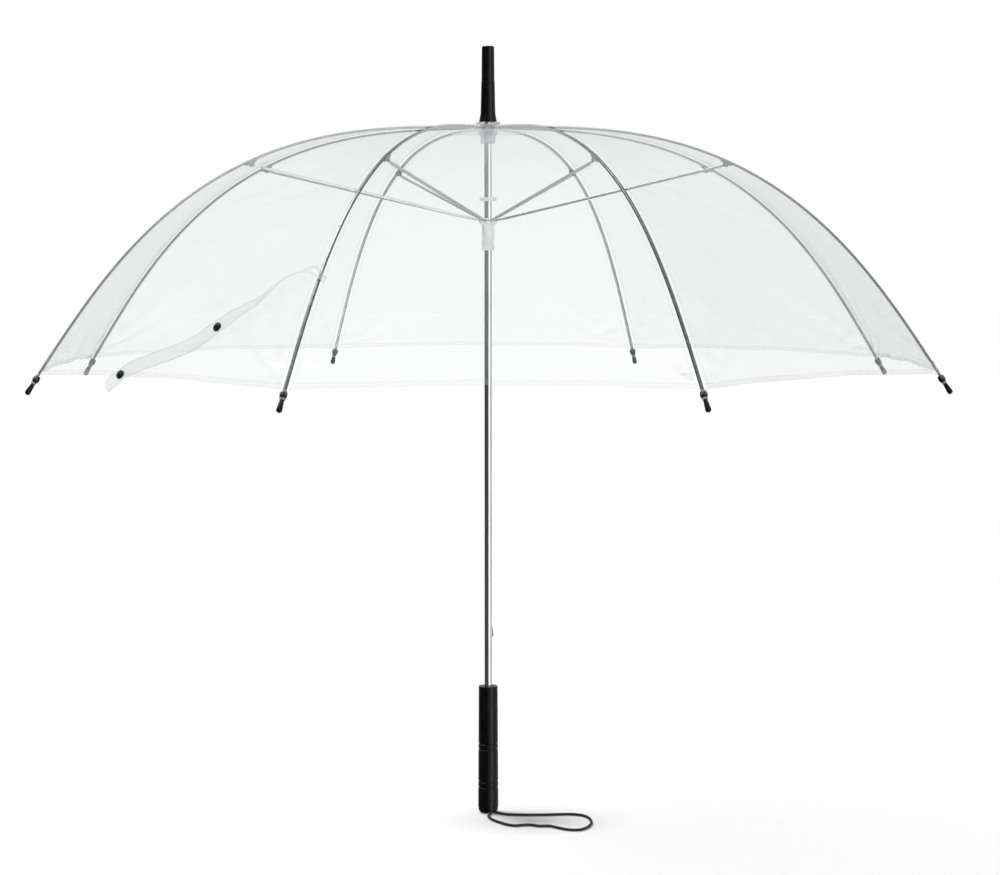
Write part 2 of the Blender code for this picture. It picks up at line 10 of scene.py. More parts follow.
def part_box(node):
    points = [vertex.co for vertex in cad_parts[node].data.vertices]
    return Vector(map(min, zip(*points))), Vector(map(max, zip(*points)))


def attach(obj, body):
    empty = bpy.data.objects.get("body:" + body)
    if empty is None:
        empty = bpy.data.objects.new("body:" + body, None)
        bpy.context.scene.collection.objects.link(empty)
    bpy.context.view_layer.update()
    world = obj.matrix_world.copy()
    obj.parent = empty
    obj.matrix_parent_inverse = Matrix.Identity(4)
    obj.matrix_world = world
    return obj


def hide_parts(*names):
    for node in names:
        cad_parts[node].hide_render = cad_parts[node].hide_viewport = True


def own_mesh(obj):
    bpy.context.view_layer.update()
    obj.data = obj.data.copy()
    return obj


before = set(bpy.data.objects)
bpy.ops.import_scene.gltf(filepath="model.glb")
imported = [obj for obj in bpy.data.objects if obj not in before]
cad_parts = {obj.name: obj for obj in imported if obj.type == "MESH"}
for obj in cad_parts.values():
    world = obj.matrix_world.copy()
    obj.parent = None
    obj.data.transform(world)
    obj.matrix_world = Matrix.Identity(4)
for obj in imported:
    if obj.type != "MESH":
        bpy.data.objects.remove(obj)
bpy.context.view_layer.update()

# The frame's own measures
RIB_COUNT = 8
RIB_STEP = 2 * pi / RIB_COUNT
HALF_STEP = RIB_STEP / 2
FIRST_RIB = radians(-67.5)
HINGE_RADIUS = 0.0090
CROWN_HINGE_Z = 0.7380
RUNNER_HINGE_Z = 0.6405
RIB_LENGTH = 0.5740
RIB_END_SLOPE = radians(56.0)
JOINT_SHARE, JOINT_DROP = 0.4530, 0.0042
SHAFT_RADIUS = 0.0040
SHAFT_WALL = 0.0006
BORE_RADIUS = 0.0043
EYE_HALF_WIDTH = 0.0008
WIRE_RADIUS = 0.00042
WIRE_GROOVE_HALF = 0.0007
FILM_OFFSET = 0.0026
FILM_INNER_RADIUS = 0.0132
ROSETTE_RADIUS = 0.0420
COLLAR_ROOM = 0.0018


def new_object(name, data):
    """A new object, linked to the scene."""
    obj = bpy.data.objects.new(name, data)
    bpy.context.scene.collection.objects.link(obj)
    return obj


def add_node(tree, kind, inputs=None, **settings):
    """A shader node with its settings and the values of its inputs."""
    node = tree.nodes.new("ShaderNode" + kind)
    for name, value in settings.items():
        setattr(node, name, value)
    for name, value in (inputs or {}).items():
        node.inputs[name].default_value = value
    return node


# Camera and light

def make_camera():
    turn, distance, height, pitch, aim = radians(-0.656), 2.630, 0.6118, radians(4.423), radians(-0.278)
    camera = new_object("camera", bpy.data.cameras.new("camera"))
    camera.data.lens = 88.4
    camera.data.sensor_width = 36.0
    camera.data.clip_start = 0.05
    camera.location = (distance * sin(turn), -distance * cos(turn), height)
    camera.rotation_euler = (pi / 2 - pitch, 0, turn + aim)
    bpy.context.scene.camera = camera


def ramp_of(tree, stops):
    """A colour ramp over a full turn, from (degrees right of the camera, brightness) pairs."""
    node = add_node(tree, "ValToRGB")
    ramp = node.color_ramp
    places = sorted(((90 + turn) % 360 / 360, level) for turn, level in stops)
    while len(ramp.elements) < len(places):
        ramp.elements.new(0.5)
    for element, (place, level) in zip(ramp.elements, places):
        element.position = place
        element.color = (level, level, level, 1)
    return node


STUDIO_PANELS = ((0, 0.10), (6, 0.80), (30, 0.90), (34, 2.6), (64, 2.6), (69, 0.12), (82, 0.12),
                 (92, 0.70), (175, 0.70), (-135, 0.45), (-115, 0.07), (-2, 0.07))
EVEN_LEVEL, GLOSS_LEVEL, BEHIND_LEVEL = 0.26, 1.0, 1.0


def make_world():
    """White behind the object, even light on it, and in gloss a studio with a lit panel at the front
    right."""
    scene = bpy.context.scene
    scene.view_settings.view_transform = "Standard"
    world = bpy.data.worlds.new("studio")
    scene.world = world
    world.use_nodes = True
    tree = world.node_tree
    tree.nodes.clear()
    direction = add_node(tree, "TexCoord")
    turn = add_node(tree, "TexGradient", gradient_type="RADIAL")
    panels = ramp_of(tree, STUDIO_PANELS)
    overhead = add_node(tree, "SeparateXYZ")
    lift = add_node(tree, "MapRange", {"From Min": 0.25, "From Max": 0.75, "To Min": 0.0, "To Max": 1.0},
                    interpolation_type="SMOOTHSTEP")
    studio_colour = add_node(tree, "Mix", {"B": (0.95, 0.95, 0.95, 1)}, data_type="RGBA")
    path = add_node(tree, "LightPath")
    even, gloss, behind = (add_node(tree, "Background", {"Color": (1, 1, 1, 1), "Strength": level})
                           for level in (EVEN_LEVEL, GLOSS_LEVEL, BEHIND_LEVEL))
    mixes = [add_node(tree, "MixShader") for _ in range(2)]
    out = add_node(tree, "OutputWorld")
    link = tree.links.new
    link(direction.outputs["Generated"], turn.inputs["Vector"])
    link(turn.outputs["Fac"], panels.inputs["Fac"])
    link(direction.outputs["Generated"], overhead.inputs["Vector"])
    link(overhead.outputs["Z"], lift.inputs["Value"])
    link(lift.outputs["Result"], studio_colour.inputs["Factor"])
    link(panels.outputs["Color"], studio_colour.inputs["A"])
    link(studio_colour.outputs["Result"], gloss.inputs["Color"])
    link(path.outputs["Is Glossy Ray"], mixes[0].inputs["Fac"])
    link(even.outputs["Background"], mixes[0].inputs[1])
    link(gloss.outputs["Background"], mixes[0].inputs[2])
    link(path.outputs["Is Camera Ray"], mixes[1].inputs["Fac"])
    link(mixes[0].outputs["Shader"], mixes[1].inputs[1])
    link(behind.outputs["Background"], mixes[1].inputs[2])
    link(mixes[1].outputs["Shader"], out.inputs["Surface"])


def make_lights():
    """A soft key from high at the back left, and a fill without shadows from the front right."""
    for name, energy, angle, lean, shadow in (("soft_key", 2.25, 28, (-12, -23), True),
                                              ("front_fill", 1.45, 30, (62, 22), False)):
        light = bpy.data.lights.new(name, "SUN")
        light.angle = radians(angle)
        light.energy = energy
        light.use_shadow = shadow
        lamp = new_object(name, light)
        lamp.rotation_euler = (radians(lean[0]), radians(lean[1]), 0)
        lamp.visible_glossy = shadow


def make_floor():
    """White ground, with a soft shadow painted on it, greyer under the handle and its loop."""
    size, gap = 40, 0.0002
    # dark is the grey of the painted shadow, light the floor's own white
    dark, light = (0.46, 0.46, 0.46), (0.91, 0.91, 0.91)
    painted_shadow_shift, painted_shadow_scale = (-0.40, 0.48, 0), (8.5, 11.5, 1.0)
    bpy.ops.mesh.primitive_plane_add(size=size, location=(0, 0, -gap))
    floor = bpy.context.object
    floor.name = "floor"
    mat, tree, shader = new_material("floor_white_painted_shadow")
    coords = add_node(tree, "TexCoord")
    place = add_node(tree, "Mapping", {"Location": painted_shadow_shift, "Scale": painted_shadow_scale})
    # The painted shadow: a soft grey patch round the handle's foot and its loop
    foot = add_node(tree, "TexGradient", gradient_type="QUADRATIC_SPHERE")
    tree.links.new(coords.outputs["Object"], place.inputs["Vector"])
    tree.links.new(place.outputs["Vector"], foot.inputs["Vector"])
    two_tone(tree, shader, foot.outputs["Fac"], light, dark)
    shader.inputs["Roughness"].default_value = 1.0
    shader.inputs["Specular IOR Level"].default_value = 0.0
    floor.data.materials.append(mat)
    floor.visible_glossy = False


# Materials

def new_material(name):
    mat = bpy.data.materials.new(name)
    mat.use_nodes = True
    return mat, mat.node_tree, mat.node_tree.nodes["Principled BSDF"]


def noise_value(tree, scale, low, high, detail=3.0, stretch=(1, 1, 1)):
    """A noise from low to high over the object, in its own coordinates."""
    coords = add_node(tree, "TexCoord")
    mapping = add_node(tree, "Mapping", {"Scale": stretch})
    texture = add_node(tree, "TexNoise", {"Scale": scale, "Detail": detail})
    span = add_node(tree, "MapRange", {"From Min": 0.3, "From Max": 0.7, "To Min": low, "To Max": high})
    tree.links.new(coords.outputs["Object"], mapping.inputs["Vector"])
    tree.links.new(mapping.outputs["Vector"], texture.inputs["Vector"])
    tree.links.new(texture.outputs["Fac"], span.inputs["Value"])
    return span.outputs["Result"]


def two_tone(tree, shader, factor, first, second):
    """Base colour that goes from the first colour to the second as the factor goes from 0 to 1."""
    mix = add_node(tree, "Mix", {"A": (*first, 1), "B": (*second, 1)}, data_type="RGBA")
    tree.links.new(factor, mix.inputs["Factor"])
    tree.links.new(mix.outputs["Result"], shader.inputs["Base Color"])


def add_bump(tree, shader, height, distance, strength=1.0):
    bump = add_node(tree, "Bump", {"Distance": distance, "Strength": strength})
    tree.links.new(height, bump.inputs["Height"])
    tree.links.new(bump.outputs["Normal"], shader.inputs["Normal"])


FILM_DARK, FILM_LIGHT = (0.60, 0.66, 0.655), (0.67, 0.72, 0.715)
FILM_STEEPNESS = 1.5


def film_material(name, facing_alpha, edge_alpha, shade=1.0):
    """Clear film, nearly unseen where it faces the view and stronger where it turns away."""
    mat, tree, shader = new_material(name)
    dark, light = ([level * shade for level in colour] for colour in (FILM_DARK, FILM_LIGHT))
    two_tone(tree, shader, noise_value(tree, 9.0, 0.0, 1.0), dark, light)
    tree.links.new(noise_value(tree, 14.0, 0.10, 0.20), shader.inputs["Roughness"])
    shader.inputs["IOR"].default_value = 1.45
    layer = add_node(tree, "LayerWeight", {"Blend": 0.5})
    steep = add_node(tree, "Math", {1: FILM_STEEPNESS}, operation="POWER")
    span = add_node(tree, "MapRange", {"To Min": facing_alpha, "To Max": edge_alpha})
    tree.links.new(layer.outputs["Facing"], steep.inputs[0])
    tree.links.new(steep.outputs["Value"], span.inputs["Value"])
    tree.links.new(span.outputs["Result"], shader.inputs["Alpha"])
    return mat


def clear_plastic_material(name, alpha, dark, light):
    mat, tree, shader = new_material(name)
    two_tone(tree, shader, noise_value(tree, 120.0, 0.0, 1.0), dark, light)
    tree.links.new(noise_value(tree, 300.0, 0.22, 0.38), shader.inputs["Roughness"])
    shader.inputs["Alpha"].default_value = alpha
    shader.inputs["IOR"].default_value = 1.49
    return mat


def chrome_material():
    """Plated tube, its fine marks drawn out along the shaft."""
    mat, tree, shader = new_material("chrome_tube")
    dark, light = (0.52, 0.53, 0.55), (0.74, 0.75, 0.76)
    two_tone(tree, shader, noise_value(tree, 160.0, 0.0, 1.0, 4.0, (1, 1, 0.15)), dark, light)
    shader.inputs["Metallic"].default_value = 1.0
    tree.links.new(noise_value(tree, 220.0, 0.10, 0.24, 4.0, (1, 1, 0.1)), shader.inputs["Roughness"])
    add_bump(tree, shader, noise_value(tree, 500.0, 0.0, 1.0, 2.0), 0.00003, 0.5)
    return mat


def steel_material(name, dark, light, roughness):
    mat, tree, shader = new_material(name)
    two_tone(tree, shader, noise_value(tree, 200.0, 0.0, 1.0, 4.0), dark, light)
    shader.inputs["Metallic"].default_value = 0.9
    worn = noise_value(tree, 400.0, roughness - 0.08, roughness + 0.10, 4.0)
    tree.links.new(worn, shader.inputs["Roughness"])
    add_bump(tree, shader, noise_value(tree, 900.0, 0.0, 1.0, 2.0), 0.00004, 0.5)
    return mat


def black_plastic_material(name, roughness):
    mat, tree, shader = new_material(name)
    dark, light = (0.0010, 0.0014, 0.0016), (0.0030, 0.0036, 0.0040)
    two_tone(tree, shader, noise_value(tree, 90.0, 0.0, 1.0), dark, light)
    tree.links.new(noise_value(tree, 160.0, roughness - 0.06, roughness + 0.08), shader.inputs["Roughness"])
    shader.inputs["Specular IOR Level"].default_value = 0.20
    add_bump(tree, shader, noise_value(tree, 1400.0, 0.0, 1.0, 2.0), 0.00003, 0.6)
    return mat


def cord_material():
    """Braid: two crossed diagonal waves as bump and shade."""
    mat, tree, shader = new_material("braided_cord")
    coords = add_node(tree, "TexCoord")
    waves = []
    for turn in (radians(45), radians(-45)):
        mapping = add_node(tree, "Mapping", {"Rotation": (0.4, 0.3, turn)})
        wave = add_node(tree, "TexWave", {"Scale": 260.0, "Distortion": 0.6})
        tree.links.new(coords.outputs["Object"], mapping.inputs["Vector"])
        tree.links.new(mapping.outputs["Vector"], wave.inputs["Vector"])
        waves.append(wave.outputs["Fac"])
    braid = add_node(tree, "Math", operation="MAXIMUM")
    tree.links.new(waves[0], braid.inputs[0])
    tree.links.new(waves[1], braid.inputs[1])
    two_tone(tree, shader, braid.outputs["Value"], (0.004, 0.004, 0.005), (0.022, 0.022, 0.026))
    shader.inputs["Roughness"].default_value = 0.85
    add_bump(tree, shader, braid.outputs["Value"], 0.0003, 0.8)
    return mat


# Meshes

def piece_from(bm, name, materials, smooth_angle=None):
    """The finished mesh as an object, smooth but for edges sharper than the angle."""
    mesh = bpy.data.meshes.new(name)
    bm.to_mesh(mesh)
    bm.free()
    for mat in materials:
        mesh.materials.append(mat)
    if smooth_angle:
        mesh.shade_smooth()
        mesh.set_sharp_from_angle(angle=radians(smooth_angle))
    return new_object(name, mesh)


def solid_from(bm, name, materials, smooth_angle):
    """piece_from for closed shapes, their faces turned outwards."""
    bmesh.ops.recalc_face_normals(bm, faces=bm.faces)
    return piece_from(bm, name, materials, smooth_angle)


def stands_for(obj, body, slot_name, *nodes):
    """The piece rides on the body, in place of the CAD nodes."""
    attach(obj, body)
    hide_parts(*nodes)
    return obj


def add_grid(bm, lines):
    """Faces between lines of vertices, as (row, column, face)."""
    return [(row, k, bm.faces.new((a[k], b[k], b[k + 1], a[k + 1])))
            for row, (a, b) in enumerate(zip(lines, lines[1:])) for k in range(len(a) - 1)]


def add_loft(bm, rings, closed=False):
    """Join rings of points to a skin, with the ends capped or joined to each other."""
    loops = [[bm.verts.new(p) for p in ring] for ring in rings]
    count = len(loops[0])
    pairs = list(zip(loops, loops[1:])) + ([(loops[-1], loops[0])] if closed else [])
    for a, b in pairs:
        for i in range(count):
            j = (i + 1) % count
            bm.faces.new((a[i], a[j], b[j], b[i]))
    if not closed:
        bm.faces.new(loops[0][::-1])
        bm.faces.new(loops[-1])


ON_AXIS = 1e-7


def add_turned(bm, profile, sides, matrix=None):
    """Turn a closed (radius, height) outline about Z, then place it."""
    matrix = matrix or Matrix.Identity(4)
    columns = []
    for r, h in profile:
        if r < ON_AXIS:
            columns.append([bm.verts.new(matrix @ Vector((0, 0, h)))] * sides)
        else:
            turns = (2 * pi * k / sides for k in range(sides))
            columns.append([bm.verts.new(matrix @ Vector((r * cos(a), r * sin(a), h))) for a in turns])
    for i in range(len(profile)):
        a, b = columns[i], columns[(i + 1) % len(profile)]
        if a[0] is a[1] and b[0] is b[1]:
            continue
        for k in range(sides):
            j = (k + 1) % sides
            bm.faces.new(list(dict.fromkeys((a[k], a[j], b[j], b[k]))))


def turned(name, profile, sides, mat, matrix=None, smooth_angle=40):
    bm = bmesh.new()
    add_turned(bm, profile, sides, matrix)
    return solid_from(bm, name, [mat], smooth_angle)


def rounded(points, radius, steps=4):
    """A closed (radius, height) outline, each corner off the axis replaced by a short curve."""
    out = []
    count = len(points)
    for i in range(count):
        before, here, after = (Vector(points[(i + k) % count]) for k in (-1, 0, 1))
        if here.x < ON_AXIS:
            out.append(tuple(here))
            continue
        a, b = before - here, after - here
        reach = min(radius, a.length * 0.45, b.length * 0.45)
        start, end = here + a.normalized() * reach, here + b.normalized() * reach
        for k in range(steps + 1):
            t = k / steps
            out.append(tuple(start.lerp(here, t).lerp(here.lerp(end, t), t)))
    return out


def box_cutter(low, high, turn=0.0):
    """A box between two corners, turned about Z, for cut_away."""
    bm = bmesh.new()
    bmesh.ops.create_cube(bm, size=1.0)
    for v in bm.verts:
        v.co = [lo + (c + 0.5) * (hi - lo) for c, lo, hi in zip(v.co, low, high)]
    bmesh.ops.rotate(bm, matrix=Matrix.Rotation(turn, 3, "Z"), verts=bm.verts)
    return piece_from(bm, "cutter", [])


def cut_away(obj, cutters, smooth_angle=40):
    """Cut the shapes out of the piece for good, and remove them."""
    for cutter in cutters:
        modifier = obj.modifiers.new("cut", "BOOLEAN")
        modifier.operation = "DIFFERENCE"
        modifier.solver = "EXACT"
        modifier.object = cutter
    bpy.context.view_layer.update()
    mesh = bpy.data.meshes.new_from_object(obj.evaluated_get(bpy.context.evaluated_depsgraph_get()))
    obj.modifiers.clear()
    obj.data = mesh
    mesh.shade_smooth()
    mesh.set_sharp_from_angle(angle=radians(smooth_angle))
    for cutter in cutters:
        bpy.data.objects.remove(cutter)


def azimuth(i):
    return FIRST_RIB + i * RIB_STEP


def rib_frame(i):
    """Turns a point of the plane y = 0, with x as radius, to rib i's azimuth."""
    return Matrix.Rotation(azimuth(i), 4, "Z")


def around(piece, body, node=None):
    """Copies of a piece at every rib, riding on body_1 to body_8 and standing for node_1 to node_8."""
    name = piece.name
    for i in range(RIB_COUNT):
        obj = new_object(f"{name}_{i + 1}", piece.data)
        obj.matrix_world = rib_frame(i)
        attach(obj, f"{body}_{i + 1}")
        if node:
            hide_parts(f"{node}_{i + 1}")
    bpy.data.objects.remove(piece)


# The ribs' curve

def rib_curve(count=1000):
    """Points (radius, height, slope) along the rib, whose slope grows smoothly to RIB_END_SLOPE."""
    step = RIB_LENGTH / count
    r, z = HINGE_RADIUS, CROWN_HINGE_Z
    points = []
    for k in range(count + 1):
        slope = RIB_END_SLOPE * (1 - cos(pi * k / count)) / 2
        points.append((r, z, slope))
        middle = RIB_END_SLOPE * (1 - cos(pi * (k + 0.5) / count)) / 2
        r += step * cos(middle)
        z -= step * sin(middle)
    return points


RIB = rib_curve()


def rib_at(share):
    """Radius, height and slope of the rib at a share of its length, straight on past its end."""
    if share >= 1.0:
        r, z, slope = RIB[-1]
        run = (share - 1.0) * RIB_LENGTH
        return r + run * cos(slope), z - run * sin(slope), slope
    x = max(share, 0.0) * (len(RIB) - 1)
    k = min(int(x), len(RIB) - 2)
    return tuple(a + (b - a) * (x - k) for a, b in zip(RIB[k], RIB[k + 1]))


def rib_point(share, offset=0.0):
    """A point square to the rib, offset outwards from its centre line."""
    r, z, slope = rib_at(share)
    return r + offset * sin(slope), z + offset * cos(slope)


JOINT = rib_point(JOINT_SHARE, -JOINT_DROP)


def rib_end():
    """The place and direction of the rib's end, with its tip along +Z."""
    x, z, slope = rib_at(1.0)
    return Matrix.Translation((x, 0, z)) @ Matrix.Rotation(pi / 2 + slope, 4, "Y")


# Frame parts that ride on the ribs

def channel_profile(half_width, height, wall):
    """A U channel, open below, with rounded shoulders: (across, up) points."""
    r = half_width * 0.45
    quarter = (0, pi / 6, pi / 3, pi / 2)
    outer = [(-half_width, -height / 2)]
    outer += [(-half_width + r - r * cos(a), height / 2 - r + r * sin(a)) for a in quarter]
    outer += [(half_width - r + r * sin(a), height / 2 - r + r * cos(a)) for a in quarter]
    outer += [(half_width, -height / 2)]
    inner = [(half_width - wall, -height / 2), (half_width - wall, height / 2 - wall),
             (-half_width + wall, height / 2 - wall), (-half_width + wall, -height / 2)]
    return outer + inner


def add_channel(bm, stations):
    """Sweep a U channel, inside in the second material, along (x, z, slope, half width, height, wall)."""
    inside_faces = 5
    rings = []
    for x, z, slope, half_width, height, wall in stations:
        rings.append([(x + up * sin(slope), across, z + up * cos(slope))
                      for across, up in channel_profile(half_width, height, wall)])
    first, count = len(bm.faces), len(rings[0])
    add_loft(bm, rings)
    for k, face in enumerate(list(bm.faces)[first:-2]):
        face.material_index = 1 if k % count >= count - inside_faces else 0


def add_eye(bm, x, z, outer, inner, half_width):
    """A short tube across the rib's plane, for the hinge wire or pin."""
    matrix = Matrix.Translation((x, 0, z)) @ Matrix.Rotation(pi / 2, 4, "X")
    profile = [(inner, -half_width), (outer, -half_width), (outer, half_width), (inner, half_width)]
    add_turned(bm, profile, 20, matrix)


def add_tab(bm, stations):
    """A solid flat bar along (x, z, slope, half width, half height)."""
    rings = []
    for x, z, slope, half_width, half_height in stations:
        corners = ((-half_width, -half_height), (half_width, -half_height),
                   (half_width, half_height), (-half_width, half_height))
        rings.append([(x + up * sin(slope), across, z + up * cos(slope)) for across, up in corners])
    add_loft(bm, rings)


def make_ribs(steel, inside):
    """Curved channels, each with a flat tab and an eye on the crown's wire."""
    rows, start, end = 90, 0.008, 1.012
    half_width, height, wall, raised = 0.0015, 0.0022, 0.00042, 0.0004
    tab_half_width, tab_half_height = 0.0007, 0.0009
    bm = bmesh.new()
    add_eye(bm, HINGE_RADIUS, CROWN_HINGE_Z, 0.00125, 0.0007, EYE_HALF_WIDTH)
    add_tab(bm, [(HINGE_RADIUS + reach, CROWN_HINGE_Z, 0, tab_half_width, tab_half_height)
                 for reach in (0.0011, 0.0070)])
    stations = []
    for k in range(rows + 1):
        x, z, slope = rib_at(start + (end - start) * k / rows)
        grow = min(1.0, 0.45 + k / 5)
        stations.append((x + raised * sin(slope), z + raised * cos(slope), slope,
                         half_width * grow, height * grow, wall))
    add_channel(bm, stations)
    around(solid_from(bm, "rib_channel", [steel, inside], 50), "rib", "rib")


def make_brackets(steel):
    """A pressed clip round the rib: two sides with ears for the stretcher's pin, a floor and rivets."""
    x, z, slope = rib_at(JOINT_SHARE)
    place = Matrix.Translation((x, 0, z)) @ Matrix.Rotation(slope, 4, "Y")
    outer, inner = 0.0023, 0.0018
    half_length, ear = 0.0060, 0.0026
    top, side_low, floor_low, floor_high = 0.0009, -0.0021, -0.0023, -0.0018
    rivet_reach, rivet_height = 0.0045, -0.0004
    bm = bmesh.new()
    for side in (-1, 1):
        outline = [(-half_length, top), (-half_length, side_low), (-ear, floor_low)]
        outline += [(ear * cos(a), -JOINT_DROP + ear * 0.62 * sin(a))
                    for a in [pi + pi * k / 8 for k in range(9)]]
        outline += [(ear, floor_low), (half_length, side_low), (half_length, top)]
        rings = [[place @ Vector((a, side * w, b)) for a, b in outline] for w in (inner, outer)]
        add_loft(bm, rings)
    base = [(-half_length, floor_low), (half_length, floor_low),
            (half_length, floor_high), (-half_length, floor_high)]
    add_loft(bm, [[place @ Vector((a, w, b)) for a, b in base] for w in (-outer, outer)])
    head = [(0, 0), (0.0009, 0), (0.0008, 0.0003), (0.0004, 0.0005), (0, 0.00055)]
    for a in (-rivet_reach, rivet_reach):
        for side in (-1, 1):
            centre = Matrix.Translation((a, side * outer, rivet_height))
            add_turned(bm, head, 12, place @ (centre @ Matrix.Rotation(-side * pi / 2, 4, "X")))
    pin = [(0, -0.0031), (0.0010, -0.0031), (0.0011, -0.0024), (0.0006, -0.0024),
           (0.0006, 0.0024), (0.0011, 0.0024), (0.0010, 0.0031), (0, 0.0031)]
    add_turned(bm, pin, 16, Matrix.Translation((JOINT[0], 0, JOINT[1])) @ Matrix.Rotation(pi / 2, 4, "X"))
    around(solid_from(bm, "rib_clip", [steel], 40), "rib", "bracket")


def make_stretchers(steel, inside):
    """Straight channels from the clips to the runner's wire, with a tab and an eye at each end."""
    ax, az = JOINT
    bx, bz = HINGE_RADIUS, RUNNER_HINGE_Z
    length = hypot(bx - ax, bz - az)
    dx, dz = (bx - ax) / length, (bz - az) / length
    slope = -atan2(dz, -dx)

    def at(s):
        """Place and slope at a distance from the upper pivot."""
        return ax + dx * s, az + dz * s, slope

    bm = bmesh.new()
    add_eye(bm, ax, az, 0.00130, 0.0007, 0.0009)
    add_tab(bm, [(*at(s), 0.0009, 0.0010) for s in (0.0010, 0.0125)])
    stations = [(0.0100, 0.0012, 0.0022), (0.0112, 0.0018, 0.0026), (0.0170, 0.0018, 0.0027),
                (0.0220, 0.0014, 0.0027), (0.0240, 0.0014, 0.0027)]
    stations += [(0.024 + (length - 0.036) * k / 12, 0.0014, 0.0027) for k in range(1, 13)]
    stations += [(length - 0.0090, 0.0009, 0.0022)]
    wall = 0.00038
    add_channel(bm, [(*at(s), half_width, height, wall) for s, half_width, height in stations])
    add_tab(bm, [(*at(length - s), 0.0007, 0.0009) for s in (0.0110, 0.0009)])
    add_eye(bm, bx, bz, 0.00120, 0.0006, EYE_HALF_WIDTH)
    channel = solid_from(bm, "stretcher_channel", [steel, inside], 50)
    around(channel, "stretcher", "stretcher")


def make_tips(black, thread):
    """Moulded cap on the rib's end, the film's corner tied to its bead with a few turns of thread."""
    place = rib_end()
    outline = [(0, 0.0070), (0.0019, 0.0070), (0.0019, 0.0003), (0.0026, 0.0003), (0.0035, 0.0026),
               (0.0034, 0.0058), (0.0022, 0.0076), (0.0019, 0.0098), (0.0022, 0.0118), (0.0028, 0.0184),
               (0.0027, 0.0202), (0.0018, 0.0214), (0, 0.0218)]
    bm = bmesh.new()
    add_turned(bm, rounded(outline, 0.0006, 3), 28, place)
    around(solid_from(bm, "tip_cap", [black], 50), "rib", "tip")
    bm = bmesh.new()
    for k in range(3):
        height = Matrix.Translation((0, 0, 0.0082 + 0.00048 * k))
        add_ring(bm, 0.0027 - 0.0002 * k, 0.00026, 20, place @ height)
    around(solid_from(bm, "tip_thread", [thread], 60), "rib")


def add_ring(bm, radius, wire, sides, matrix, around_wire=8):
    """A ring of round wire about Z, then placed."""
    rings = []
    for k in range(sides):
        a = 2 * pi * k / sides
        rings.append([matrix @ Vector(((radius + wire * cos(b)) * cos(a), (radius + wire * cos(b)) * sin(a),
                                       wire * sin(b)))
                      for b in (2 * pi * j / around_wire for j in range(around_wire))])
    add_loft(bm, rings, closed=True)


# Film


CREST_DROP, CREST_WIDTH = 0.0006, 0.0015
SLACK = 0.0016
FAN_HEIGHT, FAN_REACH, FAN_START = 0.0022, 0.075, 0.015
HEM_WAVE, HEM_REACH, HEM_RISE = 0.0012, 0.030, 0.0045
HEM_LINES = (0.0060, 0.0054, 0.0028, 0.0006, 0.0)
RINGS = 12
FILM_COLUMNS = 18


def smooth(t):
    """A soft step from 0 to 1."""
    t = min(max(t, 0.0), 1.0)
    return t * t * (3 - 2 * t)


# Each gore's ripples as (lean in degrees, height), where they differ from the rest
RIPPLES = {6: (-24, 0.0030), 0: (35, 0.0014), 7: (-50, 0.0010)}


def film_relief(gore, u, share, chord):
    """How far the film stands off its flat gore, for u from -1 to 1 between ribs: slack, diagonal ripples,
    creases that fan from the hem's corners, and a wave along the hem."""
    window = 1 - u * u
    down = (1 - share) * RIB_LENGTH
    relief = -SLACK * window * sin(pi * share)
    lean, height = RIPPLES.get(gore, (52 if gore % 2 else -48, 0.0012))
    lean = radians(lean)
    along, across = u * chord, share * RIB_LENGTH
    q = (along * cos(lean) + across * sin(lean), -along * sin(lean) + across * cos(lean))
    ripple = noise.noise(Vector((q[0] * 9, q[1] * 42, gore * 7.3)))
    relief += height * ripple * window * smooth((share - 0.25) / 0.35) * smooth((1.0 - share) / 0.10)
    for side in (-1, 1):
        reach = (1 - side * u) * chord
        distance = hypot(reach, down)
        turn = atan2(down, reach)
        fan = sin(turn * 13 + gore * 1.7 + side) * sin(2 * turn)
        relief += FAN_HEIGHT * fan * exp(-distance / FAN_REACH) * smooth(distance / FAN_START)
    relief += HEM_WAVE * sin(u * 8 + gore * 2.1) * window * exp(-down / HEM_REACH)
    return relief


def film_point(gore, u, share, lift=0.0):
    """A point of the dome between a gore's own rib and the next, at u from -1 to 1 across it and a share
    of the rib's length down it."""
    hem_rise = HEM_RISE * (1 - u * u) * smooth((share - 0.90) / 0.10) / RIB_LENGTH
    r, z, slope = rib_at(share - hem_rise)
    r, z = r + FILM_OFFSET * sin(slope), z + FILM_OFFSET * cos(slope)
    chord = r * sin(HALF_STEP)
    nx, nz = sin(slope), cos(slope) * cos(HALF_STEP)
    size = hypot(nx, nz)
    off = lift + film_relief(gore, u, share, chord)
    off -= CREST_DROP * exp(-(1 - abs(u)) * chord / CREST_WIDTH)
    middle = azimuth(gore) + HALF_STEP
    radius = r * cos(HALF_STEP) + off * nx / size
    side = u * chord
    return Vector((radius * cos(middle) - side * sin(middle), radius * sin(middle) + side * cos(middle),
                   z + off * nz / size))


# The columns nearest the rib, as (metres, largest share of the half gore)
COLUMN_EDGES = ((0, 0), (0.0008, 0.05), (0.0020, 0.12), (0.0040, 0.22), (0.0066, 0.34), (0.0072, 0.38))
COLUMNS_ON_RIB = 3
WELD_COLUMN = len(COLUMN_EDGES) - 2
CLEAR, WELD, DOUBLED = 1, 2, 3


def film_row_columns(share):
    """Where the film has points, from 0 at the rib to 1 in the gore's middle: close together by the rib."""
    chord = rib_point(share, FILM_OFFSET)[0] * sin(HALF_STEP)
    near = [min(a, f * chord) for a, f in COLUMN_EDGES]
    rest = FILM_COLUMNS - len(near)
    return [d / chord for d in near] + [
        (near[-1] + (chord - near[-1]) * k / rest) / chord for k in range(1, rest + 1)]


ON_RIB = 1e-9


